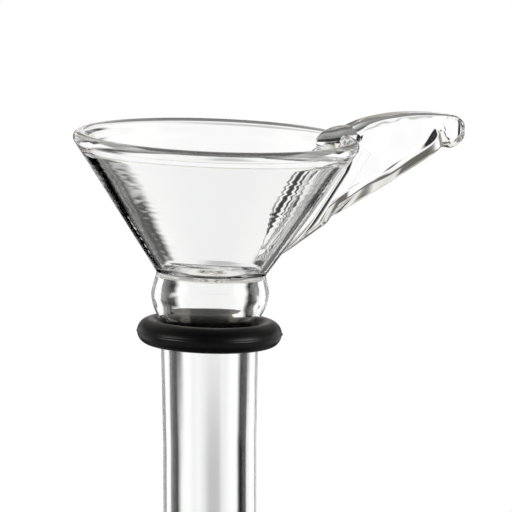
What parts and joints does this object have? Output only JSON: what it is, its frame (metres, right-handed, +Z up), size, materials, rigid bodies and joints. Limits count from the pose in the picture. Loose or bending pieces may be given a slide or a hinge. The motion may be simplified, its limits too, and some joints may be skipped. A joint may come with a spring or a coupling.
{
  "type": "glass funnel",
  "caption": "Small clear lampworked glass funnel: conical bowl with a drained floor, swelled neck, straight tube stem, fused thumb handle and a rubber seating ring that slides on the stem.",
  "frame": {"origin": "centre of the rubber ring's underside, where it rests on the mouth of the tube that holds the funnel", "axes": "+Z up along the stem, +X towards the handle; the cone, neck and ring lean 2 degrees towards +X"},
  "size_m": [0.0408, 0.0276, 0.0895],
  "materials": {
    "glass": "clear, fire-polished",
    "rubber": "satin black"
  },
  "bodies": {
    "funnel": {"funnel_cone": "glass", "neck_bulge": "glass", "stem_tube": "glass", "handle": "glass"},
    "ring": {"o_ring": "rubber"}
  },
  "joints": [
    {"name": "ring_slide", "type": "slide", "parent": "funnel", "child": "ring", "axis": [0, 0, -1], "range_m": [0, 0.072]}
  ]
}
